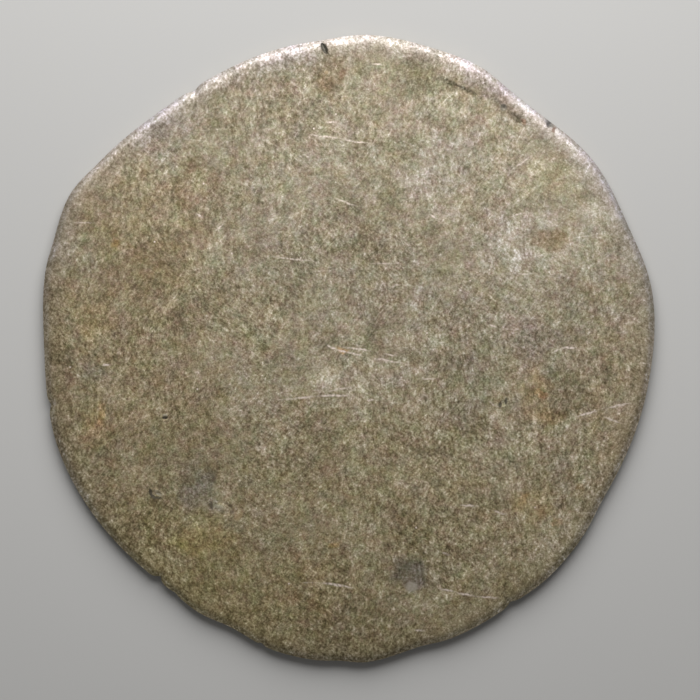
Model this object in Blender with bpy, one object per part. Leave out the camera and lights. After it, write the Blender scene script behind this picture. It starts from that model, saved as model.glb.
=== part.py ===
# Hammered silver penny, worn smooth on both faces and lying flat.
# Metres, +Z up. The origin is under the middle of the flan, on the surface that the coin lies on.
# Seen from above +Y is twelve o'clock, and bearings run anticlockwise from +X in degrees.
import math

import bmesh
import bpy
from mathutils import Vector

# The flan
MEAN_RADIUS = 0.00902
THICKNESS = 0.0005
OUTLINE_STEP = 1.5

# Shoulders rounded by handling, between each face and the edge.
# The roll says how soon a shoulder flattens out: 1 is a plain bevel, 2 and 3 are rounder.
UPPER_SHOULDER_WIDTH = 0.00055
UPPER_SHOULDER_DROP = 0.00013
UPPER_SHOULDER_ROLL = 3.0
LOWER_SHOULDER_WIDTH = 0.00035
LOWER_SHOULDER_DROP = 0.00018
LOWER_SHOULDER_ROLL = 2.0
UPPER_SHOULDER_FACETS = 4
LOWER_SHOULDER_FACETS = 3
LEAST_EDGE_SHARE = 0.15

# The uneven hammered outline: bearing, and how far it stands out in thousandths of the mean radius
BULGES = (
    (11, 4), (24, -7), (38, 4), (51, -14), (58, -8), (65, 14), (75, 19), (87, 27),
    (95, 12), (102, 8), (126, -8), (143, 20), (151, 44), (160, 30), (165, 27), (180, -2),
    (200, 6), (229, -18), (234, -18), (240, -8), (247, -12), (255, 13), (264, 22), (268, 18),
    (273, 24), (283, -2), (289, 1), (303, -14), (310, -12), (321, -24), (330, -40), (353, -20),
)

# Nicks in the edge: bearing, half width in degrees, and depth in thousandths of the mean radius
EDGE_NICKS = (
    (121.1, 2.4, 10), (190.6, 2.0, 11), (230.2, 1.8, 16), (234.4, 2.0, 4),
    (253.3, 1.0, 9), (302.4, 2.2, 10),
)

# The short open split just inside the edge, near twelve o'clock
SPLIT_WIDTH = 0.00012
SPLIT_DEPTH = 0.00019
SPLIT_BEARING = 95.2
SPLIT_TURN = -0.7
SPLIT_START = 0.00009
SPLIT_LENGTH = 0.00034

# The strain crack that follows the rim at the upper right, open in two stretches
STRAIN_WIDTH = 0.00008
STRAIN_DEPTH = 0.00012
STRAIN_STRETCHES = ((71.4, 63.4, 0.00076), (59.8, 53.0, 0.0005))

# Short cracks that run in from the edge: bearing, turn in degrees, and length
EDGE_CRACK_WIDTH = 0.0001
EDGE_CRACK_DEPTH = 0.00012
EDGE_CRACKS = ((48.5, -1.6, 0.00024), (230.0, 1.4, 0.00022), (302.3, -0.3, 0.0004))

# Corrosion pits in the upper face: bearing, distance from the edge, and width
PIT_DEPTH = 0.00005
PITS = ((216.7, 0.00186, 0.0003), (340.4, 0.00395, 0.00024), (199.9, 0.00328, 0.00018))
PIT_SIDES = 10
PIT_FLOOR_SHARE = 0.5

# Cutters start this far above the surface that they cut
CUTTER_RISE = 0.0001
CRACK_STATIONS = 6

SILVER_COLOUR = (0.27, 0.225, 0.155, 1.0)
SILVER_ROUGHNESS = 0.5
SILVER_METALLIC = 0.6


def clear_scene():
    for item in list(bpy.data.objects):
        bpy.data.objects.remove(item, do_unlink=True)


def worn_silver():
    material = bpy.data.materials.new("worn_silver")
    material.use_nodes = True
    shader = material.node_tree.nodes["Principled BSDF"]
    shader.inputs["Base Color"].default_value = SILVER_COLOUR
    shader.inputs["Roughness"].default_value = SILVER_ROUGHNESS
    shader.inputs["Metallic"].default_value = SILVER_METALLIC
    return material


def turned_from(bearing, other):
    # The turn from one bearing to another, between -180 and 180 degrees.
    return (bearing - other + 180.0) % 360.0 - 180.0


def bulge_at(bearing):
    # A smooth closed curve through the bulges, with the slope at each from its two neighbours.
    count = len(BULGES)
    first = BULGES[0][0]
    bearing = (bearing - first) % 360.0 + first
    index = max(i for i in range(count) if BULGES[i][0] <= bearing)
    spots = []
    for i in range(index - 1, index + 3):
        turns, place = divmod(i, count)
        spots.append((BULGES[place][0] + 360.0 * turns, BULGES[place][1]))
    before, start, end, after = spots
    span = end[0] - start[0]
    leave = (end[1] - before[1]) / (end[0] - before[0]) * span
    arrive = (after[1] - start[1]) / (after[0] - start[0]) * span
    t = (bearing - start[0]) / span
    return (
        start[1] * (2.0 * t ** 3 - 3.0 * t ** 2 + 1.0)
        + leave * (t ** 3 - 2.0 * t ** 2 + t)
        + end[1] * (3.0 * t ** 2 - 2.0 * t ** 3)
        + arrive * (t ** 3 - t ** 2)
    )


def edge_radius(bearing):
    rise = bulge_at(bearing)
    for middle, half_width, depth in EDGE_NICKS:
        nearness = max(0.0, 1.0 - abs(turned_from(bearing, middle)) / half_width)
        rise -= depth * nearness ** 2
    return MEAN_RADIUS * (1.0 + rise / 1000.0)


def outline_bearings():
    # Even steps, with closer ones where a nick needs them.
    bearings = [i * OUTLINE_STEP for i in range(round(360.0 / OUTLINE_STEP))]
    for middle, half_width, _ in EDGE_NICKS:
        bearings = [b for b in bearings if abs(turned_from(b, middle)) > half_width]
        bearings += [middle + half_width * share for share in (-0.9, -0.6, -0.3, 0.0, 0.3, 0.6, 0.9)]
    return sorted(bearings)


def flan_centre():
    # The middle of the outline's box, which the origin lies under.
    points = [polar(edge_radius(b), b) for b in outline_bearings()]
    xs = [p.x for p in points]
    ys = [p.y for p in points]
    return Vector(((min(xs) + max(xs)) / 2.0, (min(ys) + max(ys)) / 2.0, 0.0))


def polar(radius, bearing, height=0.0):
    angle = math.radians(bearing)
    return Vector((radius * math.cos(angle), radius * math.sin(angle), height))


def shoulder_drops():
    # Both roundings are eased together where the flan is too thin for them.
    whole = UPPER_SHOULDER_DROP + LOWER_SHOULDER_DROP
    ease = min(1.0, THICKNESS * (1.0 - LEAST_EDGE_SHARE) / whole)
    return UPPER_SHOULDER_DROP * ease, LOWER_SHOULDER_DROP * ease


def top_height(inset):
    # Height of the upper surface at a distance inside the edge.
    left = max(0.0, 1.0 - inset / UPPER_SHOULDER_WIDTH)
    return THICKNESS - shoulder_drops()[0] * left ** UPPER_SHOULDER_ROLL


def underside_height(inset):
    # Height of the lower surface at a distance inside the edge.
    left = max(0.0, 1.0 - inset / LOWER_SHOULDER_WIDTH)
    return shoulder_drops()[1] * left ** LOWER_SHOULDER_ROLL


def section():
    # Half a section of the coin: inset from the edge and height, from the underside up to the top.
    points = []
    for i in range(LOWER_SHOULDER_FACETS + 1):
        inset = LOWER_SHOULDER_WIDTH * (1.0 - i / LOWER_SHOULDER_FACETS)
        points.append((inset, underside_height(inset)))
    for i in range(UPPER_SHOULDER_FACETS + 1):
        inset = UPPER_SHOULDER_WIDTH * i / UPPER_SHOULDER_FACETS
        points.append((inset, top_height(inset)))
    return points


def finish_mesh(bm, name, centre):
    bmesh.ops.translate(bm, verts=bm.verts, vec=-centre)
    bmesh.ops.recalc_face_normals(bm, faces=bm.faces)
    mesh = bpy.data.meshes.new(name)
    bm.to_mesh(mesh)
    bm.free()
    item = bpy.data.objects.new(name, mesh)
    bpy.context.scene.collection.objects.link(item)
    return item


def make_flan(name, centre):
    # Rings of points up the section, bridged, with a flat field closing each face.
    bm = bmesh.new()
    bearings = outline_bearings()
    rings = []
    for inset, height in section():
        rings.append([bm.verts.new(polar(edge_radius(b) - inset, b, height)) for b in bearings])
    for low, high in zip(rings, rings[1:]):
        for i in range(len(bearings)):
            j = (i + 1) % len(bearings)
            bm.faces.new((low[i], low[j], high[j], high[i]))
    for ring, height in ((rings[0], 0.0), (rings[-1], THICKNESS)):
        middle = bm.verts.new((0.0, 0.0, height))
        for i in range(len(bearings)):
            bm.faces.new((ring[i], ring[(i + 1) % len(bearings)], middle))
    return finish_mesh(bm, name, centre)


def crack_path(bearing, turn, start, length):
    # From a start distance inside the edge, inwards by the length and round by the turn.
    path = []
    for i in range(CRACK_STATIONS + 1):
        share = i / CRACK_STATIONS
        path.append((bearing + turn * share, start + length * share))
    return path


def make_crack(name, path, width, depth, centre):
    # A boat-shaped wedge along the path, widest and deepest halfway, with a sharp end at each side.
    bm = bmesh.new()
    points = [polar(edge_radius(b) - inset, b) for b, inset in path]
    last = len(points) - 1
    rows = []
    for i, point in enumerate(points):
        share = 2.0 * i / last - 1.0
        fullness = 1.0 - share ** 2
        along = (points[min(i + 1, last)] - points[max(i - 1, 0)]).normalized()
        across = Vector((-along.y, along.x, 0.0))
        floor = top_height(path[i][1])
        top = Vector((0.0, 0.0, THICKNESS + CUTTER_RISE))
        spread = 1.0 + (THICKNESS + CUTTER_RISE - floor) / depth
        side = across * (0.5 * width * fullness * spread)
        if i in (0, last):
            rows.append([bm.verts.new(point + top)])
        else:
            keel = Vector((0.0, 0.0, floor - depth * fullness))
            rows.append([bm.verts.new(p) for p in (point + top + side, point + top - side, point + keel)])
    bow, stern = rows[0][0], rows[-1][0]
    for near, tip in ((rows[1], bow), (rows[-2], stern)):
        for i in range(3):
            bm.faces.new((near[i], near[(i + 1) % 3], tip))
    for row, following in zip(rows[1:-2], rows[2:-1]):
        for i in range(3):
            j = (i + 1) % 3
            bm.faces.new((row[i], row[j], following[j], following[i]))
    return finish_mesh(bm, name, centre)


def make_pit(name, bearing, inset, width, centre):
    # A shallow dish with sloping sides and a small flat floor.
    bm = bmesh.new()
    middle = polar(edge_radius(bearing) - inset, bearing)
    floor = top_height(inset)
    slope = 0.5 * width * (1.0 - PIT_FLOOR_SHARE) / PIT_DEPTH
    levels = (
        (0.5 * width * PIT_FLOOR_SHARE, floor - PIT_DEPTH),
        (0.5 * width + slope * CUTTER_RISE, floor + CUTTER_RISE),
    )
    rings = []
    for radius, height in levels:
        ring = [middle + polar(radius, 360.0 * i / PIT_SIDES, height) for i in range(PIT_SIDES)]
        rings.append([bm.verts.new(p) for p in ring])
    bm.faces.new(rings[0])
    bm.faces.new(rings[1])
    for i in range(PIT_SIDES):
        j = (i + 1) % PIT_SIDES
        bm.faces.new((rings[0][i], rings[0][j], rings[1][j], rings[1][i]))
    return finish_mesh(bm, name, centre)


def make_cutters(centre):
    cutters = []
    path = crack_path(SPLIT_BEARING, SPLIT_TURN, SPLIT_START, SPLIT_LENGTH)
    cutters.append(make_crack("split_cutter", path, SPLIT_WIDTH, SPLIT_DEPTH, centre))
    for number, (start, end, inset) in enumerate(STRAIN_STRETCHES, 1):
        path = crack_path(start, end - start, inset, 0.0)
        name = f"strain_cutter_{number}"
        cutters.append(make_crack(name, path, STRAIN_WIDTH, STRAIN_DEPTH, centre))
    for number, (bearing, turn, length) in enumerate(EDGE_CRACKS, 1):
        path = crack_path(bearing, turn, 0.0, length)
        name = f"edge_cutter_{number}"
        cutters.append(make_crack(name, path, EDGE_CRACK_WIDTH, EDGE_CRACK_DEPTH, centre))
    for number, (bearing, inset, width) in enumerate(PITS, 1):
        cutters.append(make_pit(f"pit_cutter_{number}", bearing, inset, width, centre))
    return cutters


def cut(item, cutter):
    cutter.hide_render = True
    cutter.display_type = "WIRE"
    modifier = item.modifiers.new(cutter.name, "BOOLEAN")
    modifier.operation = "DIFFERENCE"
    modifier.solver = "EXACT"
    modifier.object = cutter


def main():
    clear_scene()
    centre = flan_centre()
    penny = make_flan("penny", centre)
    penny.data.materials.append(worn_silver())
    for cutter in make_cutters(centre):
        cut(penny, cutter)


main()
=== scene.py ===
# Worn hammered silver penny, lying on a pale table under a soft lamp
import math

import bpy
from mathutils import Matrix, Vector
from mathutils.bvhtree import BVHTree


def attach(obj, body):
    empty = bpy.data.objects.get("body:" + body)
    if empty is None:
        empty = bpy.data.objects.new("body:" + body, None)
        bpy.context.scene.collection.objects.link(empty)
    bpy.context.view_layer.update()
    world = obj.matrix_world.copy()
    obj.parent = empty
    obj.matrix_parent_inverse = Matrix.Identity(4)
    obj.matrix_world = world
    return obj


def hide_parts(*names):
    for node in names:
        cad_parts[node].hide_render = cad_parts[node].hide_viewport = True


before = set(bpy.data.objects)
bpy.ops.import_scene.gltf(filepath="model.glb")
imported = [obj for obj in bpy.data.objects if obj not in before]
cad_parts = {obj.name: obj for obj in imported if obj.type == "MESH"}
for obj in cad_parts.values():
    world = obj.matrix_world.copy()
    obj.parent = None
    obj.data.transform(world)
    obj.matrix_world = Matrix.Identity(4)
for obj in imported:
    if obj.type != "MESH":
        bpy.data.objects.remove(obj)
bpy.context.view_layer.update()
mm = 0.001    # the scene is in metres

# What a user would change on the coin. Lengths are in mm, places are (x, y) from the middle of the coin.
penny = {
    "outlineHeight": 0.22,           # where the frame's outline is read off
    "ringPoints": 800,
    "wallHeight": (0.18, 0.37),      # bottom and top of the upright band of the edge
    "upperRound": (0.55, 0.13, 3.6),  # width, drop and roll of the worn shoulder above it
    "lowerRound": (0.35, 0.18, 2.0),
    "roundSteps": 10,
    "southRoll": 2.4,                # how much sharper the upper shoulder rolls over at the lower side
    "undersideRings": 24,
    "undersideHub": 0.3,             # radius of the last ring, which closes in one point
    "faceMargin": 0.01,              # how far below the upper band a point still belongs to the upper face
    "underFace": (-0.01, 0.02),      # heights between which a point belongs to the underside
    "crackTaper": 3,                 # a crack is widest halfway along, and its sides fall away
    "crackSlope": 0.7,
    "lipPlace": (1.05, 0.2),         # middle and spread of a pit's lip, in pit sizes
    "smoothAngle": 40,
    # split near twelve o'clock, strain crack along the rim, and the small cracks that run in from the edge
    "cracks": (
        {"path": ((-0.8, 8.99), (-0.75, 8.88), (-0.7, 8.78), (-0.64, 8.66)),
         "width": 0.17, "depth": 0.05, "dirt": 0.85},
        {"path": ((-0.66, 8.71), (-0.6, 8.64), (-0.53, 8.57)),
         "width": 0.08, "depth": 0.008, "dirt": 0.4},
        {"path": ((2.8, 7.89), (2.92, 7.85), (3.06, 7.79), (3.2, 7.72)),
         "width": 0.17, "depth": 0.007, "dirt": 1.0},
        {"path": ((3.1, 7.75), (3.42, 7.61), (3.6, 7.53), (3.8, 7.42)),
         "width": 0.15, "depth": 0.009, "dirt": 0.9},
        {"path": ((4.27, 7.34), (4.42, 7.2), (4.6, 7.04)),
         "width": 0.2, "depth": 0.006, "dirt": 0.45},
        {"path": ((4.76, 6.91), (4.86, 6.83), (4.98, 6.74), (5.12, 6.63)),
         "width": 0.24, "depth": 0.01, "dirt": 0.8},
        {"path": ((5.97, 6.66), (5.9, 6.58), (5.86, 6.5)),
         "width": 0.16, "depth": 0.015, "dirt": 0.5},
        {"path": ((-5.85, -6.66), (-5.68, -6.7), (-5.48, -6.76)),
         "width": 0.11, "depth": 0.012, "dirt": 0.4},
        {"path": ((-5.3, -7.08), (-5.16, -7.11), (-4.96, -7.17)),
         "width": 0.1, "depth": 0.012, "dirt": 0.4},
        {"path": ((4.79, -7.54), (4.69, -7.43), (4.54, -7.28)),
         "width": 0.12, "depth": 0.012, "dirt": 0.4},
        {"path": ((4.56, -7.3), (4.51, -7.13), (4.59, -6.95)),
         "width": 0.09, "depth": 0.006, "dirt": 0.3},
        {"path": ((-8.78, -1.6), (-8.73, -1.72), (-8.76, -1.84)),
         "width": 0.1, "depth": 0.012, "dirt": 0.35},
    ),
    # pits: place, half width, half height, turn in degrees, depth, raised lip
    "pits": (
        {"at": (-5.69, -4.28), "size": (0.2, 0.13), "turn": -12, "depth": 0.012, "lip": 0.004},
        {"at": (4.53, -1.6), "size": (0.14, 0.1), "turn": 20, "depth": 0.007, "lip": 0.003},
        {"at": (-5.41, -2.03), "size": (0.12, 0.08), "turn": 8, "depth": 0.007, "lip": 0.003},
        {"at": (4.56, 7.09), "size": (0.12, 0.1), "turn": -40, "depth": 0.01, "lip": 0.0},
        {"at": (5.92, 6.6), "size": (0.12, 0.12), "turn": 0, "depth": 0.012, "lip": 0.0},
    ),
    # the ring-shaped dent at the lower left
    "ring": {"at": (-3.71, -4.68), "size": (0.27, 0.13), "turn": -20, "wall": 0.06, "depth": 0.006},
    "markCuts": 3,    # cuts across each face where a mark is pressed in
    # unevenness of the faces: wavelength and height, the first left by the hammer, the second by wear
    "upperSwells": ((2.6, 0.014), (0.45, 0.0022)),
    "underSwells": ((2.1, 0.012), (0.6, 0.004)),
    "uvDiscs": (0.37, 0.2158),    # half widths of its two discs, which touch on the diagonal
    "slot": "worn_silver",
}


def selectNothing():
    bpy.ops.object.select_all(action="DESELECT")
    bpy.context.view_layer.objects.active = None


def openEdit(piece):
    bpy.context.view_layer.objects.active = piece
    piece.select_set(True)
    bpy.ops.object.mode_set(mode="EDIT")


def closeEdit():
    bpy.ops.object.mode_set(mode="OBJECT")


def outlineOf(node, height, count):
    # distance of the edge from the middle of the coin, read off the frame all the way round
    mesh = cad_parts[node].data
    corners = [v.co for v in mesh.vertices]
    tree = BVHTree.FromPolygons(corners, [p.vertices for p in mesh.polygons])
    reach = 2 * max(c.length for c in corners)
    radii = []
    for i in range(count):
        angle = 2 * math.pi * i / count
        outward = Vector((math.cos(angle), math.sin(angle), 0))
        hit = tree.ray_cast(outward * reach + Vector((0, 0, height)), -outward)[0]
        radii.append(math.hypot(hit.x, hit.y))
    return radii


def radiusAt(radii, x, y):
    turn = (math.atan2(y, x) / (2 * math.pi)) % 1 * len(radii)
    low = int(turn) % len(radii)
    share = turn - int(turn)
    return radii[low] * (1 - share) + radii[(low + 1) % len(radii)] * share


def stepRing(factor, lift):
    # one more ring from the selected one, drawn in and lifted as by hand
    bpy.ops.mesh.extrude_region_move(TRANSFORM_OT_translate={"value": (0, 0, lift)})
    bpy.ops.transform.resize(value=(factor, factor, 1), center_override=(0, 0, 0))


def roundOver(radius, width, rise, roll, steps, upward):
    # a worn shoulder: rings that roll over from the upright band to the flat field
    inset, height = 0.0, 0.0
    for i in range(1, steps + 1):
        share = i / steps
        nextInset = width * share
        nextHeight = rise * (1 - (1 - share) ** roll)
        stepRing((radius - nextInset) / (radius - inset), (nextHeight - height) * upward)
        inset, height = nextInset, nextHeight


def clearMarks(mesh):
    for part in (mesh.vertices, mesh.edges, mesh.polygons):
        part.foreach_set("select", [False] * len(part))


def selectRing(piece, height):
    # the loose ring of points at one height, for the next extrusion
    closeEdit()
    mesh = piece.data
    clearMarks(mesh)
    for v in mesh.vertices:
        v.select = abs(v.co.z - height) < 1e-7
    for e in mesh.edges:
        e.select = all(mesh.vertices[i].select for i in e.vertices)
    bpy.ops.object.mode_set(mode="EDIT")


def flanFromRing(name, spec, radii):
    low, high = spec["wallHeight"][0] * mm, spec["wallHeight"][1] * mm
    mean = sum(radii) / len(radii)
    count = spec["ringPoints"]
    selectNothing()
    bpy.ops.mesh.primitive_circle_add(vertices=count, radius=mean, location=(0, 0, 0))
    piece = bpy.context.object
    piece.name = name
    piece.data.name = name
    for v in piece.data.vertices:
        v.co.z = low
    openEdit(piece)
    bpy.ops.mesh.select_mode(type="VERT")
    bpy.ops.mesh.select_all(action="SELECT")
    stepRing(1, (high - low) / 2)
    stepRing(1, (high - low) / 2)
    width, rise, roll = spec["upperRound"]
    roundOver(mean, width * mm, rise * mm, roll, spec["roundSteps"], 1)
    bpy.ops.mesh.fill_grid(span=count // 4)
    selectRing(piece, low)
    width, rise, roll = spec["lowerRound"]
    roundOver(mean, width * mm, rise * mm, roll, spec["roundSteps"], -1)
    start = mean - width * mm
    hub = spec["undersideHub"] * mm
    rings = spec["undersideRings"]
    for i in range(rings):
        now = start + (hub - start) * i / rings
        then = start + (hub - start) * (i + 1) / rings
        stepRing(then / now, 0)
    bpy.ops.mesh.extrude_region_move()
    bpy.ops.mesh.merge(type="COLLAPSE")
    bpy.ops.mesh.select_all(action="SELECT")
    bpy.ops.mesh.normals_make_consistent(inside=False)
    closeEdit()
    width, rise, roll = spec["upperRound"]
    for v in piece.data.vertices:
        far = min(1, math.hypot(v.co.x, v.co.y) / mean)
        left = 1 - (1 - far) * mean / (width * mm)
        if left > 0 and v.co.z > high:
            south = (1 - v.co.y / math.hypot(v.co.x, v.co.y)) / 2
            v.co.z = high + rise * mm * (1 - left ** (roll + spec["southRoll"] * south))
        scale = 1 + (radiusAt(radii, v.co.x, v.co.y) / mean - 1) * far ** 2
        v.co = (v.co.x * scale, v.co.y * scale, v.co.z)
    return piece


def noteEdge(piece, radii):
    # distance of each point from the outline in mm, kept for the material
    note = piece.data.attributes.new("fromEdge", "FLOAT", "POINT")
    for v in piece.data.vertices:
        note.data[v.index].value = (radiusAt(radii, v.co.x, v.co.y) - math.hypot(v.co.x, v.co.y)) / mm


def nearPath(x, y, path):
    # distance from a path of short straight runs, and how far along it, from 0 to 1
    best, along = 1e9, 0
    for i in range(len(path) - 1):
        (ax, ay), (bx, by) = path[i], path[i + 1]
        runX, runY = bx - ax, by - ay
        share = ((x - ax) * runX + (y - ay) * runY) / (runX ** 2 + runY ** 2)
        share = min(1, max(0, share))
        far = math.hypot(x - ax - runX * share, y - ay - runY * share)
        if far < best:
            best, along = far, (i + share) / (len(path) - 1)
    return best, along


def turnedInto(x, y, mark):
    # place inside a mark's own ellipse: 1 is its rim
    angle = math.radians(mark["turn"])
    dx, dy = x - mark["at"][0], y - mark["at"][1]
    u = (dx * math.cos(angle) + dy * math.sin(angle)) / mark["size"][0]
    v = (dy * math.cos(angle) - dx * math.sin(angle)) / mark["size"][1]
    return math.hypot(u, v)


def boxOfPath(path, margin):
    xs, ys = [p[0] for p in path], [p[1] for p in path]
    return min(xs) - margin, min(ys) - margin, max(xs) + margin, max(ys) + margin


def inBox(x, y, box):
    return box[0] < x < box[2] and box[1] < y < box[3]


def boxOfMark(mark, margin):
    return boxOfPath([mark["at"]], max(mark["size"]) * margin)


def refineAround(piece, boxes, floor, cuts):
    # finer faces where a crack or a pit is to be pressed in
    mesh = piece.data
    clearMarks(mesh)
    for face in mesh.polygons:
        x, y, z = face.center / mm
        if z > floor and any(inBox(x, y, box) for box in boxes):
            face.select = True
    openEdit(piece)
    bpy.ops.mesh.select_mode(type="FACE")
    bpy.ops.mesh.subdivide(number_cuts=cuts, smoothness=0)
    closeEdit()


def pressCracks(piece, spec, floor):
    # each crack is a sharp valley, fullest halfway along
    cracks = spec["cracks"]
    boxes = [boxOfPath(crack["path"], crack["width"]) for crack in cracks]
    for v in piece.data.vertices:
        x, y, z = v.co / mm
        if z < floor:
            continue
        deepest = 0
        for crack, box in zip(cracks, boxes):
            if not inBox(x, y, box):
                continue
            far, along = nearPath(x, y, crack["path"])
            half = crack["width"] / 2 * (1 - abs(2 * along - 1) ** spec["crackTaper"])
            if far < half:
                deepest = max(deepest, crack["depth"] * (1 - far / half) ** spec["crackSlope"])
        v.co.z -= deepest * mm


def pressPits(piece, spec, floor):
    # a bowl with a low pushed-up lip round it
    pits = spec["pits"]
    crest, spread = spec["lipPlace"]
    boxes = [boxOfMark(pit, 1.6) for pit in pits]
    for v in piece.data.vertices:
        x, y, z = v.co / mm
        if z < floor:
            continue
        for pit, box in zip(pits, boxes):
            if not inBox(x, y, box):
                continue
            far = turnedInto(x, y, pit)
            if far < 1:
                v.co.z -= pit["depth"] * (1 - far ** 2) ** 1.5 * mm
            if far < 1.5:
                v.co.z += pit["lip"] * math.exp(-((far - crest) / spread) ** 2) * mm


def pressRing(piece, ring, floor):
    # an oval groove round a slightly raised middle
    box = boxOfMark(ring, 1.6)
    middle = min(ring["size"])
    for v in piece.data.vertices:
        x, y, z = v.co / mm
        if z < floor or not inBox(x, y, box):
            continue
        off = (turnedInto(x, y, ring) - 1) * middle / ring["wall"]
        v.co.z -= ring["depth"] * math.exp(-off ** 2) * mm


def unevenField(piece, wave, height, low, high):
    # clouds push the points between two levels into the coin, down for a positive height
    name = "swell"
    group = piece.vertex_groups.new(name=name)
    inside = [v.index for v in piece.data.vertices if low <= v.co.z / mm <= high]
    group.add(inside, 1, "REPLACE")
    clouds = bpy.data.textures.new(name, "CLOUDS")
    clouds.noise_scale = wave * mm
    clouds.noise_depth = 1
    lift = piece.modifiers.new(name, "DISPLACE")
    lift.texture = clouds
    lift.texture_coords = "LOCAL"
    lift.direction = "Z"
    lift.strength = height * mm
    lift.mid_level = 1
    lift.vertex_group = name
    selectNothing()
    bpy.context.view_layer.objects.active = piece
    piece.select_set(True)
    bpy.ops.object.modifier_apply(modifier=name)
    piece.vertex_groups.clear()


def layOutUv(piece, spec, radii):
    # two discs in one square: the upper face with its shoulder and edge, and the underside
    mesh = piece.data
    uv = mesh.uv_layers.new(name="OFBake")
    mean = sum(radii) / len(radii) / mm
    reach = mean + spec["wallHeight"][1]
    halfWall = sum(spec["wallHeight"]) / 2
    top, under = spec["uvDiscs"]
    edge = mean * 0.9    # the wall is laid out as a band round its disc
    for face in mesh.polygons:
        upward = face.center.z / mm > halfWall
        size, middle = (top, top) if upward else (under, 1 - under)
        for corner in face.loop_indices:
            x, y, z = mesh.vertices[mesh.loops[corner].vertex_index].co / mm
            far = math.hypot(x, y)
            drop = spec["wallHeight"][1] - z if upward else z - spec["wallHeight"][0]
            drop = max(0, drop) if far > edge else 0
            stretch = size / reach * (1 + drop / max(far, 1e-6))
            uv.data[corner].uv = (middle + x * stretch, middle + y * stretch)


class Shade:
    # a socket of a material; sums and products of these add their Math nodes
    def __init__(self, tree, socket):
        self.tree = tree
        self.socket = socket

    def node(self, kind, settings, inputs, output=0):
        made = self.tree.nodes.new(kind)
        for name, value in settings.items():
            if name == "stops":
                self.fillRamp(made.color_ramp, value)
            else:
                setattr(made, name, value)
        for place, value in inputs.items():
            if isinstance(value, Shade):
                self.tree.links.new(value.socket, made.inputs[place])
            else:
                made.inputs[place].default_value = value
        return Shade(self.tree, made.outputs[output])

    def fillRamp(self, ramp, stops):
        while len(ramp.elements) < len(stops):
            ramp.elements.new(1)
        for element, (place, colour) in zip(ramp.elements, stops):
            element.position = place
            element.color = (*colour, 1)

    def math(self, operation, first, second=0.0):
        return self.node("ShaderNodeMath", {"operation": operation}, {0: first, 1: second})

    def __add__(self, other):
        return self.math("ADD", self, other)

    def __sub__(self, other):
        return self.math("SUBTRACT", self, other)

    def __rsub__(self, other):
        return self.math("SUBTRACT", other, self)

    def __mul__(self, other):
        return self.math("MULTIPLY", self, other)

    __radd__ = __add__
    __rmul__ = __mul__


def shift(place, operation, other):
    return place.node("ShaderNodeVectorMath", {"operation": operation}, {0: place, 1: other})


def blend(first, second, share, how="MIX"):
    owner = next(v for v in (first, second, share) if isinstance(v, Shade))
    settings = {"data_type": "RGBA", "blend_type": how, "clamp_factor": True}
    return owner.node("ShaderNodeMix", settings, {0: share, 6: first, 7: second}, 2)


def ease(value, start, end, low=0.0, high=1.0):
    settings = {"interpolation_type": "SMOOTHSTEP"}
    inputs = {"Value": value, "From Min": start, "From Max": end, "To Min": low, "To Max": high}
    return value.node("ShaderNodeMapRange", settings, inputs)


def noise(place, scale, detail=1.0, roughness=0.5, output=0):
    inputs = {"Vector": place, "Scale": scale, "Detail": detail, "Roughness": roughness}
    return place.node("ShaderNodeTexNoise", {}, inputs, output)


def centred(value, spread=0.12):
    # noise as a field with mean 0 and a spread of about 1
    return (value - 0.5) * (1 / spread)


def channel(colour, index):
    return colour.node("ShaderNodeSeparateColor", {}, {0: colour}, index)


def drifted(place, scale, reach):
    # places pushed about by slow noise, so that an ellipse drawn on them has an uneven edge
    push = noise(place, scale, 2, 0.5, 1)
    inputs = {i: (channel(push, i) - 0.5) * (2 * reach) for i in (0, 1)}
    return shift(place, "ADD", place.node("ShaderNodeCombineXYZ", {}, inputs))


def turned(place, degrees, stretch):
    # place in a frame turned by some degrees, with its first axis along the streaks drawn out
    inputs = {"Vector": place, "Rotation": (0, 0, math.radians(degrees)), "Scale": (stretch, 1, 1)}
    return place.node("ShaderNodeMapping", {"vector_type": "TEXTURE"}, inputs)


def spot(place, at, size, turn=0.0):
    # 1 in the middle of an ellipse, falling evenly to 0 at its rim
    if turn:
        inputs = {
            "Vector": place,
            "Location": (*at, 0),
            "Rotation": (0, 0, math.radians(turn)),
            "Scale": (*size, 1),
        }
        local = place.node("ShaderNodeMapping", {"vector_type": "TEXTURE"}, inputs)
        return local.node("ShaderNodeTexGradient", {"gradient_type": "SPHERICAL"}, {"Vector": local}, 1)
    inputs = {0: place, 1: (1 / size[0], 1 / size[1], 1), 2: (-at[0] / size[0], -at[1] / size[1], 0)}
    local = place.node("ShaderNodeVectorMath", {"operation": "MULTIPLY_ADD"}, inputs)
    return 1 - local.node("ShaderNodeVectorMath", {"operation": "LENGTH"}, {0: local}, 1)


def line(place, start, end, width):
    # the same along a straight run; the ends fade, so the ellipse is a little longer than the run
    run = (end[0] - start[0], end[1] - start[1])
    middle = ((start[0] + end[0]) / 2, (start[1] + end[1]) / 2)
    size = (math.hypot(*run) * 0.62 + width, width)
    return spot(place, middle, size, math.degrees(math.atan2(run[1], run[0])))


def stronger(top, mask):
    # taken up one at a time, because Cycles has room for only so many values at once
    return top.math("MAXIMUM", top, mask) if top else mask


# colours of the small marks, among them painted shade and painted highlights at the pits
pitShade = (0.03, 0.025, 0.02)
pitDirt = (0.05, 0.045, 0.035)
splitDirt = (0.055, 0.055, 0.04)
oldDirtAndShade = (0.07, 0.06, 0.045)
softPitShade = (0.08, 0.07, 0.05)
rustyDirt = (0.1, 0.07, 0.045)
pitHighlight = (0.6, 0.55, 0.45)
yellowMetal = (0.6, 0.57, 0.45)

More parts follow.
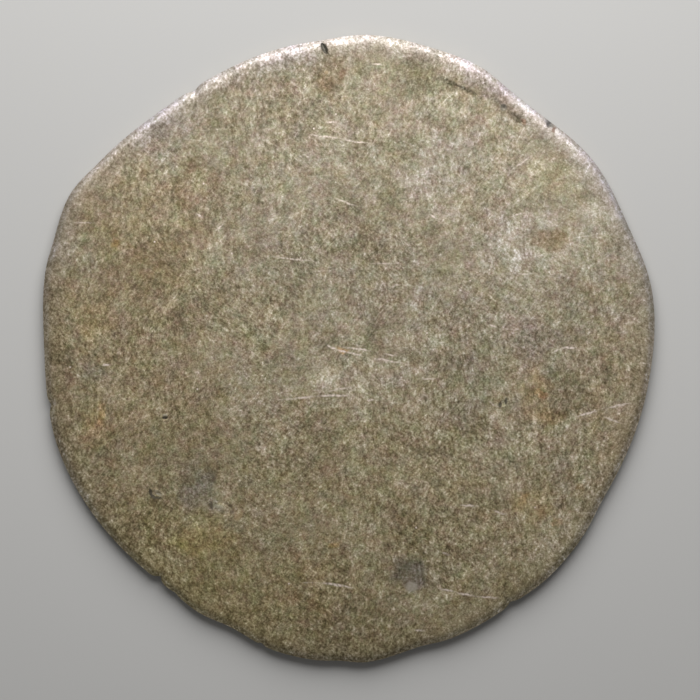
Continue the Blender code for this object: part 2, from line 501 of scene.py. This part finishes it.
# The worn silver. Places and sizes are in mm, colours are linear, lifts are in spreads of the grain.
# A range is from, to, and where they matter the value at either end.
patina = {
    "ramp": (
        (0.0, (0.09, 0.07, 0.04)),
        (0.3, (0.212, 0.175, 0.111)),
        (0.5, (0.332, 0.283, 0.193)),
        (0.7, (0.504, 0.442, 0.332)),
        (0.85, (0.7, 0.63, 0.52)),
        (1.0, (0.95, 0.9, 0.82)),
    ),
    "toneStep": 0.11,
    "upperFace": (0.22, 0.3),                # heights between which the marks of the upper face set in
    "grainCalm": (-6.0, 7.0, 1.75, 1.1),     # weight of the grain from the lower side to the rubbed top
    "blotches": {"scale": 1.9, "weight": 0.5},
    "clouds": {"scale": 0.65, "weight": 0.35},
    "sparkle": {"scale": 13, "range": (0.68, 0.8), "bright": 1.5},
    "hueScales": (9, 2.4),                   # quick and slow shifts of hue
    "hueSlower": 0.55,                       # share of the slow ones
    "hueShare": (0.1, 0.9, 0.12, 0.34),      # weaker towards the rim
    # how far in from its rim, as a share of its size, a mark is at its full strength
    "fullAt": {"patches": 0.7, "stains": 0.6, "scratches": 0.6, "specks": 0.5},
    # noise scale and reach, in mm, by which marks are pushed out of their even shapes
    "patchDrift": (1.1, 0.8),
    "stainDrift": (2.2, 0.3),
    "dirtDrift": (9.0, 0.05),
    "scratchDrift": (5.0, 0.045),
    # short streaks of the grain: lean in degrees, width, stretch and weight
    "grain": (
        {"lean": 100, "width": 0.038, "stretch": 3.0, "weight": 0.48},
        {"lean": 55, "width": 0.036, "stretch": 3.0, "weight": 0.42},
        {"lean": 145, "width": 0.036, "stretch": 3.0, "weight": 0.42},
        {"lean": 12, "width": 0.038, "stretch": 2.5, "weight": 0.32},
    ),
    "speckle": {"width": 0.027, "weight": 0.6},
    "sheets": {"scale": 0.45, "range": (0.3, 0.65, 0.55, 1.35)},    # the first three come and go
    # long faint hairlines: lean, spacing, stretch and brightness
    "hairlines": (
        {"lean": 62, "spacing": 0.5, "stretch": 5.0, "bright": 1.3},
        {"lean": 128, "spacing": 0.45, "stretch": 5.0, "bright": 1.3},
        {"lean": 8, "spacing": 0.6, "stretch": 5.0, "bright": 1.1},
    ),
    "hairWidth": 0.16,
    "hairGaps": {"scale": 2.6, "range": (0.5, 0.62)},
    "patches": (
        {"at": (0.0, -7.0), "size": (12.0, 9.0), "tint": (1.015, 0.99, 0.865)},
        {"at": (-7.0, 1.0), "size": (5.0, 8.0), "lift": -0.35, "tint": (1.035, 0.99, 0.89)},
        {"at": (7.0, 0.5), "size": (6.0, 9.0), "lift": 0.25},
        {"at": (8.0, -1.5), "size": (2.2, 3.6), "tint": (1.045, 1.0, 0.94)},
        {"at": (-8.4, -1.4), "size": (1.0, 3.0), "lift": -0.45},
        {"at": (-6.3, -2.8), "size": (1.4, 1.0), "lift": -0.35},
        {"at": (1.3, -5.3), "size": (1.6, 1.6), "lift": -0.45},
        {"at": (-3.4, 6.9), "size": (1.3, 1.0), "lift": -0.35},
        {"at": (2.7, -0.4), "size": (1.2, 1.0), "lift": -0.55},
        {"at": (0.6, 1.5), "size": (1.3, 1.2), "lift": -0.4},
        {"at": (3.1, -2.5), "size": (1.3, 1.3), "lift": -0.35},
        {"at": (-8.0, 2.8), "size": (1.1, 1.4), "lift": 0.45, "tint": (0.97, 1.0, 1.08)},
        {"at": (-1.2, -7.0), "size": (1.9, 1.6), "lift": -0.35, "tint": (1.03, 1.0, 0.93)},
        {"at": (-2.3, 0.9), "size": (1.7, 1.4), "tint": (1.0, 1.0, 0.93)},
        {"at": (0.0, -0.4), "size": (4.5, 3.0), "lift": 0.3},
        {"at": (5.4, 4.8), "size": (4.5, 4.5), "lift": 0.62},
        {"at": (0.5, 6.2), "size": (5.0, 2.5), "lift": 0.3},
        {"at": (-4.8, -6.9), "size": (4.6, 2.6), "turn": -35, "lift": -0.2, "tint": (1.01, 1.0, 0.88)},
        {"at": (0.0, -8.6), "size": (4.0, 1.6), "lift": -0.7},
        {"at": (0.68, 2.77), "size": (0.7, 2.3), "lift": -0.15},
        {"at": (0.27, 4.25), "size": (0.35, 0.5), "lift": -0.5},
        {"at": (-0.27, 6.16), "size": (0.4, 1.4), "lift": 0.5},
        {"at": (2.15, 1.74), "size": (0.35, 1.4), "lift": 0.7, "tint": (0.98, 1.0, 1.04)},
        {"at": (4.9, 3.2), "size": (1.5, 1.5), "lift": 0.5, "tint": (0.99, 1.0, 1.03)},
        {"at": (6.37, -1.5), "size": (0.9, 1.1), "lift": -0.9},
        {"at": (5.5, 0.4), "size": (1.2, 0.8), "lift": -0.6, "tint": (1.0, 0.97, 1.05)},
        {"at": (3.7, -1.1), "size": (0.8, 1.7), "lift": -0.5, "tint": (0.98, 1.0, 1.03)},
        {"at": (-0.8, -1.0), "size": (3.2, 1.0), "lift": 0.4},
        {"at": (-2.9, -1.5), "size": (1.4, 0.7), "lift": 0.5},
        {"at": (-0.7, -0.6), "size": (0.8, 0.6), "lift": 0.9},
        {"at": (1.1, -0.8), "size": (1.3, 0.6), "lift": -0.05},
        {"at": (-3.45, 3.35), "size": (0.8, 0.7), "lift": 0.6},
        {"at": (-4.4, 6.0), "size": (1.8, 1.4), "lift": -0.1, "tint": (1.0, 1.0, 0.98)},
        {"at": (-5.3, 6.2), "size": (1.3, 1.4), "lift": 0.35, "tint": (0.98, 1.0, 1.12)},
        {"at": (-1.6, 8.3), "size": (1.5, 0.8), "lift": 0.5, "tint": (1.0, 1.0, 1.08)},
        {"at": (6.8, 3.2), "size": (1.7, 1.7), "lift": 0.7},
        {"at": (7.0, -4.7), "size": (1.3, 1.2), "lift": 0.5},
        {"at": (-2.0, -1.2), "size": (1.1, 0.8), "lift": 0.5},
        {"at": (-4.1, -2.5), "size": (1.1, 0.8), "lift": 0.5},
        {"at": (5.0, -0.7), "size": (1.0, 0.8), "lift": -0.95, "tint": (1.03, 1.0, 0.98)},
        {"at": (4.2, 2.7), "size": (0.9, 0.8), "lift": 0.6},
        {"at": (-5.9, 2.5), "size": (1.3, 1.4), "lift": -0.5, "tint": (1.015, 1.0, 0.99)},
        {"at": (-4.4, -3.5), "size": (1.1, 0.8), "lift": -0.8},
        {"at": (-4.4, -4.15), "size": (0.7, 1.1), "lift": -0.35, "tint": (0.96, 0.99, 1.12)},
        {"at": (2.0, 8.2), "size": (1.6, 0.45), "turn": -15, "lift": -0.65, "tint": (1.0, 1.01, 1.0)},
        {"at": (1.95, 7.8), "size": (1.1, 0.75), "lift": -0.15, "tint": (0.975, 1.01, 0.98)},
        {"at": (4.0, 7.8), "size": (1.7, 0.4), "turn": -38, "lift": -0.1, "tint": (1.0, 0.975, 1.07)},
        {"at": (4.45, -4.8), "size": (1.0, 0.7), "lift": -0.5},
        {"at": (5.35, -4.55), "size": (0.9, 0.6), "lift": 0.3, "tint": (1.05, 0.995, 0.9)},
        {"at": (5.6, -1.65), "size": (0.6, 1.6), "lift": 0.15, "tint": (1.07, 0.99, 0.88)},
        {"at": (5.8, 4.97), "size": (0.9, 0.9), "tint": (1.0, 1.015, 0.94)},
        {"at": (-4.55, 4.4), "size": (0.9, 1.7), "tint": (1.02, 0.995, 0.97)},
        {"at": (-7.5, 0.85), "size": (0.8, 0.8), "lift": 0.45, "tint": (1.05, 0.995, 0.93)},
        {"at": (-7.5, -2.25), "size": (0.8, 1.0), "tint": (1.05, 0.99, 0.9)},
        {"at": (-7.6, -0.78), "size": (0.55, 0.5), "tint": (0.97, 0.99, 1.09)},
        {"at": (1.65, -0.92), "size": (0.4, 0.4), "tint": (0.985, 0.99, 1.05)},
        {"at": (2.7, 5.56), "size": (1.8, 1.5), "tint": (0.985, 1.0, 1.05)},
        {"at": (-4.1, -5.8), "size": (1.3, 0.8), "tint": (1.03, 1.0, 0.88)},
        {"at": (-5.3, 5.6), "size": (0.3, 1.0), "lift": 0.5},
        {"at": (2.4, -7.1), "size": (0.8, 0.5), "lift": 0.5},
        {"at": (5.6, -5.9), "size": (1.6, 1.0), "turn": 35, "lift": 0.75},
        {"at": (4.9, -2.7), "size": (0.3, 0.9), "lift": 0.5},
    ),
    # stains with an uneven edge, the grain showing through: brown, violet-grey, and copper-rich orange
    "stains": (
        {"at": (-0.62, 8.0), "size": (0.55, 0.8), "tint": (0.79, 0.73, 0.66)},
        {"at": (-0.62, 7.85), "size": (0.3, 0.25), "tint": (0.87, 0.81, 0.76)},
        {"at": (-0.3, 8.03), "size": (0.2, 0.2), "tint": (0.85, 0.79, 0.76)},
        {"at": (5.63, 3.32), "size": (0.46, 0.4), "tint": (0.78, 0.7, 0.62)},
        {"at": (6.2, 3.29), "size": (0.42, 0.4), "tint": (0.71, 0.63, 0.52)},
        {"at": (5.99, 2.97), "size": (0.42, 0.3), "tint": (0.84, 0.78, 0.71)},
        {"at": (1.8, -6.6), "size": (0.75, 0.66), "tint": (0.65, 0.66, 0.82)},
        {"at": (-4.59, 5.44), "size": (0.28, 0.28), "tint": (0.78, 0.69, 0.68)},
        {"at": (-4.45, -3.93), "size": (0.7, 1.0), "tint": (0.89, 0.9, 0.94)},
        {"at": (3.4, 7.6), "size": (0.7, 0.26), "turn": -22, "tint": (0.95, 0.92, 0.88)},
        {"at": (4.6, 7.1), "size": (0.85, 0.26), "turn": -42, "tint": (0.93, 0.9, 0.86)},
        {"at": (-5.6, -4.4), "size": (0.4, 0.3), "tint": (0.87, 0.85, 0.87)},
        {"at": (-0.15, -0.05), "size": (0.3, 0.15), "turn": -12, "tint": (1.2, 0.93, 0.72)},
        {"at": (5.12, 6.66), "size": (0.16, 0.14), "tint": (0.95, 0.76, 0.68)},
        {"at": (5.72, -1.37), "size": (0.18, 0.18), "tint": (1.05, 0.84, 0.78)},
        {"at": (5.55, -1.22), "size": (0.17, 0.14), "tint": (1.06, 0.93, 0.85)},
        {"at": (6.05, -1.95), "size": (0.6, 0.35), "tint": (0.98, 0.93, 0.84)},
        {"at": (5.1, -4.46), "size": (0.25, 0.22), "tint": (1.0, 0.92, 0.8)},
        {"at": (6.81, -4.14), "size": (0.2, 0.18), "tint": (0.9, 0.82, 0.72)},
        {"at": (6.11, -5.14), "size": (0.22, 0.2), "tint": (1.08, 0.94, 0.85)},
        {"at": (-0.5, -5.7), "size": (0.28, 0.18), "tint": (1.25, 1.13, 0.95)},
        {"at": (-6.83, 3.11), "size": (0.22, 0.22), "tint": (1.06, 0.97, 0.76)},
        {"at": (-7.25, -1.87), "size": (0.2, 0.4), "tint": (1.2, 1.1, 1.0)},
    ),
    # small crisp marks: dark dirt, bare metal and thin copper-rich spots, and painted shade with painted
    # highlights at two pits
    "specks": (
        # the pit at the lower left: a dark crescent of painted shade round its left and lower side, and a
        # painted highlight inside it
        {"at": (-5.83, -4.21), "size": (0.07, 0.13), "turn": 10, "colour": oldDirtAndShade, "share": 0.85},
        {"at": (-5.75, -4.35), "size": (0.14, 0.07), "turn": -35, "colour": oldDirtAndShade, "share": 0.9},
        {"at": (-5.6, -4.38), "size": (0.12, 0.05), "turn": -5, "colour": softPitShade, "share": 0.85},
        {"at": (-5.59, -4.28), "size": (0.12, 0.045), "turn": -20, "colour": pitHighlight, "share": 0.55},
        # the pit above it: painted shade below and a painted highlight above
        {"at": (-5.41, -2.03), "size": (0.11, 0.06), "turn": 5, "colour": pitShade, "share": 0.9},
        {"at": (-5.41, -1.95), "size": (0.1, 0.04), "turn": 5, "colour": pitHighlight, "share": 0.5},
        {"at": (-4.04, -4.61), "size": (0.06, 0.17), "turn": 12, "colour": oldDirtAndShade, "share": 0.6},
        {"at": (-3.48, -4.62), "size": (0.09, 0.08), "colour": rustyDirt, "share": 0.5},
        {"at": (-3.43, -4.8), "size": (0.08, 0.1), "turn": -15, "colour": rustyDirt, "share": 0.5},
        {"at": (-3.83, -4.64), "size": (0.18, 0.08), "turn": -8, "colour": yellowMetal, "share": 0.45},
        {"at": (-3.24, -4.9), "size": (0.22, 0.14), "turn": 60, "colour": (0.5, 0.38, 0.2), "share": 0.4},
        {"at": (4.55, 7.09), "size": (0.14, 0.13), "colour": (0.14, 0.14, 0.115), "share": 0.6},
        {"at": (5.9, 6.62), "size": (0.2, 0.12), "turn": -45, "colour": (0.1, 0.1, 0.09), "share": 0.6},
        {"at": (6.04, 6.43), "size": (0.09, 0.12), "turn": -40, "colour": (0.2, 0.12, 0.08), "share": 0.8},
        {"at": (6.12, 6.41), "size": (0.08, 0.1), "colour": (0.85, 0.8, 0.76), "share": 0.7},
        {"at": (1.85, -7.0), "size": (0.24, 0.18), "colour": (0.5, 0.45, 0.37), "share": 0.7},
        {"at": (-0.66, 8.12), "size": (0.08, 0.07), "colour": (0.48, 0.34, 0.16), "share": 0.35},
        {"at": (4.45, -1.65), "size": (0.07, 0.1), "turn": -10, "colour": pitDirt, "share": 0.75},
        {"at": (4.62, -1.54), "size": (0.06, 0.13), "turn": -5, "colour": pitDirt, "share": 0.75},
        {"at": (-0.72, 8.83), "size": (0.22, 0.1), "turn": -64, "colour": splitDirt, "share": 0.6},
    ),
    "dirt": (0.25, 0.245, 0.195),
    "dirtWidth": 0.85,                       # share of a crack's width
    "dirtEdge": (0.1, 0.85),
    "dirtGaps": {"scale": 14, "range": (0.3, 0.6, 0.6, 1.0)},
    # bright scratches: start, end and how bright
    "scratchWidth": 0.044,
    "scratchAndGlintColour": (0.98, 0.84, 0.75),
    "scratches": (
        ((-0.65, 6.68), (-0.31, 6.63), 0.7), ((-1.2, 6.3), (-0.2, 6.17), 0.6),
        ((-0.25, 6.16), (0.64, 6.03), 0.6), ((-1.7, 7.86), (-1.56, 7.74), 0.6),
        ((0.71, 8.38), (1.0, 8.33), 0.5), ((-0.62, 0.11), (-0.36, -0.04), 1.0),
        ((-0.36, -0.04), (-0.06, -0.1), 0.9), ((-0.06, -0.1), (0.36, -0.19), 0.8),
        ((-0.14, 0.05), (0.69, -0.07), 0.65), ((1.05, -0.15), (1.4, -0.23), 0.6),
        ((0.65, -0.27), (1.63, -0.44), 0.6), ((-2.47, 2.73), (-0.88, 2.55), 0.45),
        ((0.58, 2.51), (1.52, 2.51), 0.4), ((1.26, 1.82), (1.52, 1.9), 0.5),
        ((-1.97, -1.51), (-0.94, -1.4), 0.65), ((-0.94, -1.4), (0.03, -1.37), 0.9),
        ((-0.7, -1.25), (0.21, -1.13), 0.5), ((0.51, -1.51), (0.71, -1.51), 0.7),
        ((6.04, -0.09), (6.27, 0.02), 0.6), ((6.24, 0.03), (6.66, 0.04), 1.0),
        ((6.67, -2.01), (7.34, -1.81), 0.7), ((7.6, -1.75), (8.26, -1.6), 0.7),
        ((7.49, -1.99), (7.99, -2.19), 0.6), ((-0.76, -6.88), (0.1, -7.03), 0.9),
        ((-1.41, -6.88), (-0.97, -6.88), 0.35), ((2.75, -5.99), (2.98, -6.08), 0.5),
        ((2.66, -7.05), (3.13, -7.17), 0.6), ((3.13, -7.17), (3.72, -7.28), 0.6),
        ((3.72, -7.28), (4.41, -7.33), 0.6), ((1.92, -8.26), (2.25, -8.3), 0.6),
        ((3.25, -4.61), (3.78, -4.61), 0.6), ((4.28, -4.78), (4.57, -4.87), 0.6),
        ((2.39, 3.94), (2.6, 3.82), 0.7), ((4.69, 5.2), (5.43, 5.7), 0.45),
        ((-0.41, 4.41), (0.21, 4.2), 0.55), ((-4.5, 3.97), (-4.3, 3.85), 0.6),
        ((-3.91, 3.47), (-3.68, 3.67), 0.6), ((4.75, 3.88), (5.22, 4.0), 0.6),
        ((4.99, 2.2), (5.4, 2.2), 0.6), ((4.13, 0.7), (4.34, 0.64), 0.6),
        ((-7.24, -0.48), (-7.01, -0.48), 0.6), ((-8.13, 3.7), (-7.42, 3.7), 0.35),
        ((4.13, -1.57), (4.35, -1.69), 0.55), ((2.1, -0.89), (2.6, -0.89), 0.45),
    ),
    "scratchGaps": {"scale": 12, "range": (0.36, 0.58, 0.35, 1.0)},
    "scratchAndGlintShare": 0.92,
    # glints: painted highlights, small bright dots in the base colour
    "glintSize": (0.04, 0.04),
    "glintBright": 0.8,
    "glints": (
        (-1.03, 6.47), (-0.38, 6.89), (-2.0, -2.1), (-8.19, -0.54), (-1.76, -6.91), (-3.44, 2.8),
        (-2.38, 2.7), (-1.41, 2.67), (2.51, 4.35), (2.3, 0.46), (1.45, 2.52), (-4.27, 4.85),
        (-5.71, 3.14), (-4.45, -1.19), (-4.18, 0.96), (8.29, 1.64), (7.23, -1.81), (3.57, 1.99),
        (5.48, -4.67), (1.98, -5.26), (-1.11, -5.2),
    ),
    # silver rubbed bright along the upper rim, partly a painted highlight: whitened in the base colour, a
    # little more towards the top
    "rubAndHighlightTint": (1.74, 1.84, 2.22),
    "rubAndHighlightNorth": (-8.0, 6.0, 0.5, 0.62),
    "rubbedHeight": (0.493, 0.44),
    "rubbedFoot": (0.3, 0.38),
    "rubbedGaps": {"scale": 5, "range": (0.3, 0.55, 0.55, 1.0)},
    "rimTint": (1.0, 1.01, 1.15),
    "rimBand": (0.8, 0.2),
    "rimNorth": (-1.0, 5.0),
    "rough": (-3.0, 3.5, 0.69, 0.53),
    "scratchGloss": 0.15,
    "rubbedGloss": 0.06,
    "metallic": 0.85,
    "bumpHeight": 0.0004,
    "bumpShare": 0.35,
}


def grainField(place, spec):
    # hairline grain in sheets of different lean that come and go over the face
    sheets = noise(place, spec["sheets"]["scale"], 1, 0.5, 1)
    speckle = spec["speckle"]
    grain = centred(noise(place, 0.5 / speckle["width"], 2, 0.7)) * speckle["weight"]
    for i, layer in enumerate(spec["grain"]):
        run = turned(place, layer["lean"], layer["stretch"])
        streaks = centred(noise(run, 0.5 / layer["width"], 2, 0.6)) * layer["weight"]
        if i < 3:
            streaks = streaks * ease(channel(sheets, i), *spec["sheets"]["range"])
        grain = grain + streaks
    return grain


def hairField(place, spec):
    # thin bright lines where a drawn-out noise crosses its middle value, broken along their length
    broken = noise(place, spec["hairGaps"]["scale"], 2, 0.6, 1)
    brightest = None
    for i, layer in enumerate(spec["hairlines"]):
        run = turned(place, layer["lean"], layer["stretch"])
        off = centred(noise(run, 1 / layer["spacing"], 1, 0.5))
        thin = ease(off.math("ABSOLUTE", off), 0.0, spec["hairWidth"], 1.0, 0.0)
        hair = thin * ease(channel(broken, i), *spec["hairGaps"]["range"]) * layer["bright"]
        brightest = stronger(brightest, hair)
    return brightest


def wornSilver(spec, flan):
    material = bpy.data.materials.new("wornSilver")
    material.use_nodes = True
    tree = material.node_tree
    shader = tree.nodes["Principled BSDF"]
    objectPlace = Shade(tree, tree.nodes.new("ShaderNodeTexCoord").outputs["Object"])
    place = shift(objectPlace, "MULTIPLY", (1 / mm, 1 / mm, 1 / mm))
    flat = shift(place, "MULTIPLY", (1, 1, 0))
    height = place.node("ShaderNodeSeparateXYZ", {}, {0: place}, 2)
    north = place.node("ShaderNodeSeparateXYZ", {}, {0: place}, 1)
    upper = ease(height, *spec["upperFace"])

    # fine grain, calmer towards the rubbed top, over blotches and broad clouds
    fine = grainField(place, spec) * ease(north, *spec["grainCalm"])
    blotches = centred(noise(place, spec["blotches"]["scale"], 3, 0.6))
    clouds = centred(noise(place, spec["clouds"]["scale"], 3, 0.55))
    tone = fine + hairField(place, spec)
    tone = tone + blotches * spec["blotches"]["weight"] + clouds * spec["clouds"]["weight"]
    # sparkle: painted highlights, sparse bright dots lifted into the tone
    sparkle = ease(noise(place, spec["sparkle"]["scale"], 1), *spec["sparkle"]["range"])
    tone = tone + sparkle * spec["sparkle"]["bright"]

    # broad patches on the upper face that lift or lower its tone, or tint it
    full = spec["fullAt"]
    broad = drifted(flat, *spec["patchDrift"])
    tint = (1, 1, 1, 1)
    for patch in spec["patches"]:
        mask = spot(broad, patch["at"], patch["size"], patch.get("turn", 0))
        mask = ease(mask, 0, full["patches"]) * upper
        if "lift" in patch:
            tone = tone + mask * patch["lift"]
        if "tint" in patch:
            tint = blend(tint, (*patch["tint"], 1), mask, "MULTIPLY")
    level = tone * spec["toneStep"] + 0.5
    colour = tone.node("ShaderNodeValToRGB", {"stops": spec["ramp"]}, {0: level})
    colour = blend(colour, tint, 1.0, "MULTIPLY")

    # fine shifts of hue
    hue = noise(place, spec["hueScales"][0], 2, 0.6, 1)
    slowHue = noise(place, spec["hueScales"][1], 2, 0.5, 1)
    fromEdge = place.node("ShaderNodeAttribute", {"attribute_name": "fromEdge"}, {}, 2)
    hue = blend(hue, slowHue, spec["hueSlower"])
    colour = blend(colour, hue, ease(fromEdge, *spec["hueShare"]), "SOFT_LIGHT")

    # a greyer band along the upper rim, and rubbed silver on the shoulder, partly a painted highlight that
    # grows towards the top
    greyer = ease(fromEdge, *spec["rimBand"]) * ease(north, *spec["rimNorth"]) * upper
    colour = blend(colour, (*spec["rimTint"], 1), greyer, "MULTIPLY")
    rub = ease(height, *spec["rubbedHeight"]) * ease(height, *spec["rubbedFoot"])
    gaps = spec["rubbedGaps"]
    rub = rub * ease(noise(place, gaps["scale"], 2, 0.6), *gaps["range"])
    rubAndHighlight = rub * ease(north, *spec["rubAndHighlightNorth"])
    colour = blend(colour, (*spec["rubAndHighlightTint"], 1), rubAndHighlight, "MULTIPLY")

    # stains, and dirt in the cracks
    near = drifted(flat, *spec["stainDrift"])
    for stain in spec["stains"]:
        mask = spot(near, stain["at"], stain["size"], stain.get("turn", 0))
        mask = ease(mask, 0, full["stains"]) * upper
        colour = blend(colour, (*stain["tint"], 1), mask, "MULTIPLY")
    crooked = drifted(flat, *spec["dirtDrift"])
    dirty = None
    for crack in flan["cracks"]:
        run = line(crooked, crack["path"][0], crack["path"][-1], crack["width"] * spec["dirtWidth"])
        dirty = stronger(dirty, ease(run, *spec["dirtEdge"]) * crack["dirt"])
    gaps = spec["dirtGaps"]
    dirty = dirty * ease(noise(place, gaps["scale"], 1, 0.5), *gaps["range"]) * upper
    colour = blend(colour, (*spec["dirt"], 1), dirty, "MULTIPLY")

    # scratches, and glints that are painted highlights, broken up along their length, and specks
    gaps = spec["scratchGaps"]
    broken = ease(noise(place, gaps["scale"], 1, 0.5), *gaps["range"])
    wandering = drifted(flat, *spec["scratchDrift"])
    scratchesAndGlints = None
    for start, end, bright in spec["scratches"]:
        run = line(wandering, start, end, spec["scratchWidth"]) * bright
        scratchesAndGlints = stronger(scratchesAndGlints, run)
    for at in spec["glints"]:
        scratchesAndGlints = stronger(scratchesAndGlints, spot(flat, at, spec["glintSize"]) * spec["glintBright"])
    scratchesAndGlints = ease(scratchesAndGlints, 0, full["scratches"]) * broken * upper
    colour = blend(colour, (*spec["scratchAndGlintColour"], 1), scratchesAndGlints * spec["scratchAndGlintShare"])
    # specks, among them painted shade and painted highlights at two pits
    for speck in spec["specks"]:
        mask = spot(flat, speck["at"], speck["size"], speck.get("turn", 0))
        mask = ease(mask, 0, full["specks"]) * upper
        colour = blend(colour, (*speck["colour"], 1), mask * speck["share"])

    tree.links.new(colour.socket, shader.inputs["Base Color"])
    shader.inputs["Metallic"].default_value = spec["metallic"]
    rough = ease(tone, *spec["rough"])
    rough = rough - scratchesAndGlints * spec["scratchGloss"] - rub * spec["rubbedGloss"]
    tree.links.new(rough.socket, shader.inputs["Roughness"])
    inputs = {"Strength": 1.0, "Distance": spec["bumpHeight"] * mm, "Height": fine * spec["bumpShare"]}
    bump = fine.node("ShaderNodeBump", {}, inputs)
    tree.links.new(bump.socket, shader.inputs["Normal"])
    return material


radii = outlineOf("penny", penny["outlineHeight"] * mm, penny["ringPoints"] * 2)
wornPenny = flanFromRing("wornPenny", penny, radii)
print("flan:", len(wornPenny.data.polygons), "faces")

upperFloor = penny["wallHeight"][1] - penny["faceMargin"]
finePlaces = [boxOfPath(crack["path"], crack["width"]) for crack in penny["cracks"]]
finePlaces += [boxOfMark(pit, 1.4) for pit in penny["pits"]]
finePlaces += [boxOfMark(penny["ring"], 1.3)]
refineAround(wornPenny, finePlaces, upperFloor, penny["markCuts"])
print("finer faces at the marks:", len(wornPenny.data.polygons))
for wave, height in penny["upperSwells"]:
    unevenField(wornPenny, wave, height, upperFloor, 1)
for wave, height in penny["underSwells"]:
    unevenField(wornPenny, wave, -height, *penny["underFace"])
pressCracks(wornPenny, penny, upperFloor)
pressPits(wornPenny, penny, upperFloor)
pressRing(wornPenny, penny["ring"], upperFloor)
print("marks pressed in:", len(penny["cracks"]), "cracks,", len(penny["pits"]), "pits and the ring")
selectNothing()
wornPenny.select_set(True)
bpy.context.view_layer.objects.active = wornPenny
bpy.ops.object.shade_smooth_by_angle(angle=math.radians(penny["smoothAngle"]))
layOutUv(wornPenny, penny, radii)
noteEdge(wornPenny, radii)
wornPenny.data.materials.append(wornSilver(patina, penny))
print("worn silver:", len(wornPenny.active_material.node_tree.nodes), "nodes")

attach(wornPenny, "root")
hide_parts("penny")

# The studio
studio = {
    "frameWidth": 20.63,      # mm of table across the picture
    "aim": (0.035, -0.04),    # middle of the picture, in mm from the middle of the coin
    "aimHeight": 0.28,
    "lens": 150,
    "sensor": 36,
    "keyPlace": (1, 38, 35),
    "keySize": 60,
    "keyPower": 0.037,
    "sky": 0.135,
    "tableSize": 600,
    "tableHeight": -0.002,    # just clear of the coin's underside
    "tableColour": (0.555, 0.548, 0.533),
    "tableRough": 0.9,
}


def addCamera(spec):
    data = bpy.data.cameras.new("camera")
    data.lens = spec["lens"]
    data.sensor_width = spec["sensor"]
    distance = spec["frameWidth"] * spec["lens"] / spec["sensor"] * mm
    data.clip_start = 1 * mm
    data.clip_end = 10
    camera = bpy.data.objects.new("camera", data)
    x, y = spec["aim"]
    camera.location = (x * mm, y * mm, spec["aimHeight"] * mm + distance)
    bpy.context.scene.collection.objects.link(camera)
    bpy.context.scene.camera = camera


def addKey(spec):
    data = bpy.data.lights.new("softKey", "AREA")
    data.shape = "DISK"
    data.size = spec["keySize"] * mm
    data.energy = spec["keyPower"]
    key = bpy.data.objects.new("softKey", data)
    key.location = Vector(spec["keyPlace"]) * mm
    key.rotation_euler = (-key.location).to_track_quat("-Z", "Y").to_euler()
    bpy.context.scene.collection.objects.link(key)


def addSky(spec):
    world = bpy.data.worlds.new("sky")
    world.use_nodes = True
    ground = world.node_tree.nodes["Background"]
    ground.inputs["Color"].default_value = (1, 1, 1, 1)
    ground.inputs["Strength"].default_value = spec["sky"]
    bpy.context.scene.world = world


def addTable(spec):
    selectNothing()
    bpy.ops.mesh.primitive_plane_add(size=spec["tableSize"] * mm, location=(0, 0, spec["tableHeight"] * mm))
    table = bpy.context.object
    table.name = "table"
    paper = bpy.data.materials.new("palePaper")
    paper.use_nodes = True
    shader = paper.node_tree.nodes["Principled BSDF"]
    shader.inputs["Base Color"].default_value = (*spec["tableColour"], 1)
    shader.inputs["Roughness"].default_value = spec["tableRough"]
    table.data.materials.append(paper)


addCamera(studio)
addKey(studio)
addSky(studio)
addTable(studio)
bpy.context.scene.view_settings.view_transform = "Standard"
print("studio: camera, lamp, sky and table")
